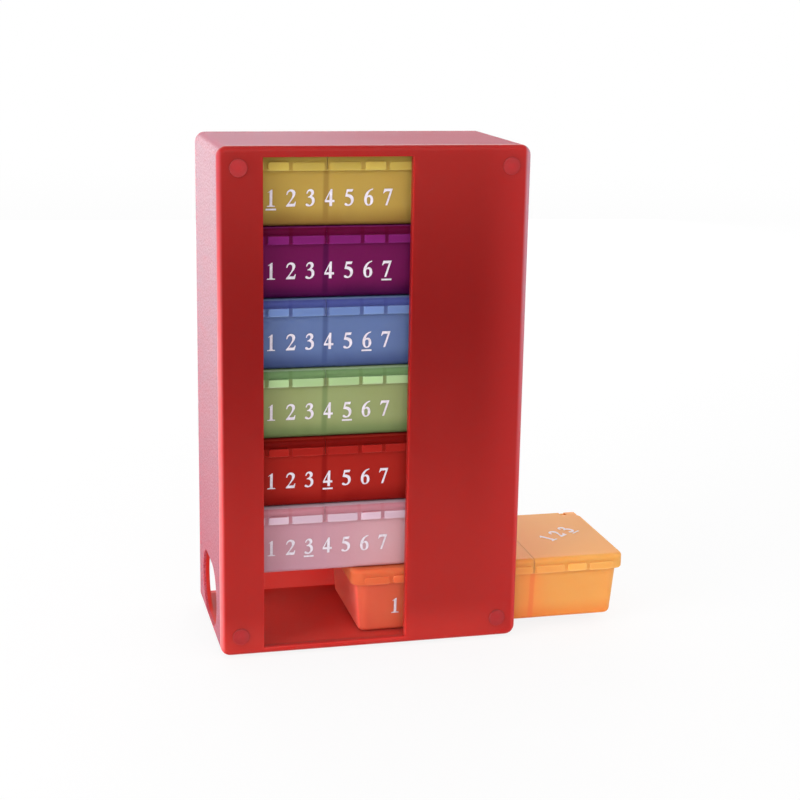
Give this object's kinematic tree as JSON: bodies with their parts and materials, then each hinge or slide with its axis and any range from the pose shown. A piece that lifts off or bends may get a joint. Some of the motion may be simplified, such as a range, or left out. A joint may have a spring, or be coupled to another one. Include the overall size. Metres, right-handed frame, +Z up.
{
  "type": "weekly pill organizer",
  "caption": "Upright translucent casing with a front window and an open side, holding a stack of coloured sliding day boxes with hinged lids over their compartments.",
  "frame": {"origin": "on the table under the middle of the bounding box, with the bottom box pulled out as in the picture", "axes": "+Z up, +X to the right, where the boxes slide out, and +Y from the window to the back wall"},
  "size_m": [0.1398, 0.0564, 0.1659],
  "materials": {
    "case_red": "fine frosted grain, slightly translucent",
    "cover_red": "smooth satin, slightly translucent",
    "foot_red": "satin",
    "orange_plastic": "satin, translucent",
    "clear_plastic": "satin, translucent",
    "red_plastic": "satin, translucent",
    "green_plastic": "satin, translucent",
    "blue_plastic": "satin, translucent",
    "purple_plastic": "satin, translucent",
    "yellow_plastic": "satin, translucent"
  },
  "bodies": {
    "root": {"rear_shell": "case_red", "front_cover": "cover_red", "cover_studs": "cover_red", "feet": "foot_red"},
    "orange_box": {"orange_tray": "orange_plastic", "orange_lid_left": "orange_plastic", "orange_lid_middle": "orange_plastic"},
    "clear_box": {"clear_tray": "clear_plastic", "clear_lid_left": "clear_plastic", "clear_lid_middle": "clear_plastic", "clear_lid_right": "clear_plastic"},
    "red_box": {"red_tray": "red_plastic", "red_lid_left": "red_plastic", "red_lid_middle": "red_plastic", "red_lid_right": "red_plastic"},
    "green_box": {"green_tray": "green_plastic", "green_lid_left": "green_plastic", "green_lid_middle": "green_plastic", "green_lid_right": "green_plastic"},
    "blue_box": {"blue_tray": "blue_plastic", "blue_lid_left": "blue_plastic", "blue_lid_middle": "blue_plastic", "blue_lid_right": "blue_plastic"},
    "purple_box": {"purple_tray": "purple_plastic", "purple_lid_left": "purple_plastic", "purple_lid_middle": "purple_plastic", "purple_lid_right": "purple_plastic"},
    "yellow_box": {"yellow_tray": "yellow_plastic", "yellow_lid_left": "yellow_plastic", "yellow_lid_middle": "yellow_plastic", "yellow_lid_right": "yellow_plastic"},
    "orange_lid": {"orange_lid_right": "orange_plastic"}
  },
  "joints": [
    {"name": "orange_box_slide", "type": "slide", "parent": "root", "child": "orange_box", "axis": [1, 0, 0], "range_m": [-0.0419, 0.09]},
    {"name": "clear_box_slide", "type": "slide", "parent": "root", "child": "clear_box", "axis": [1, 0, 0], "range_m": [0, 0.1002]},
    {"name": "red_box_slide", "type": "slide", "parent": "root", "child": "red_box", "axis": [1, 0, 0], "range_m": [0, 0.1002]},
    {"name": "green_box_slide", "type": "slide", "parent": "root", "child": "green_box", "axis": [1, 0, 0], "range_m": [0, 0.1002]},
    {"name": "blue_box_slide", "type": "slide", "parent": "root", "child": "blue_box", "axis": [1, 0, 0], "range_m": [0, 0.1002]},
    {"name": "purple_box_slide", "type": "slide", "parent": "root", "child": "purple_box", "axis": [1, 0, 0], "range_m": [0, 0.1002]},
    {"name": "yellow_box_slide", "type": "slide", "parent": "root", "child": "yellow_box", "axis": [1, 0, 0], "range_m": [0, 0.1002]},
    {"name": "orange_lid_hinge", "type": "hinge", "parent": "orange_box", "child": "orange_lid", "pos_m": [0.05285, 0.0234, 0.02445], "axis": [-1, 0, 0], "range_deg": [0, 180]}
  ]
}
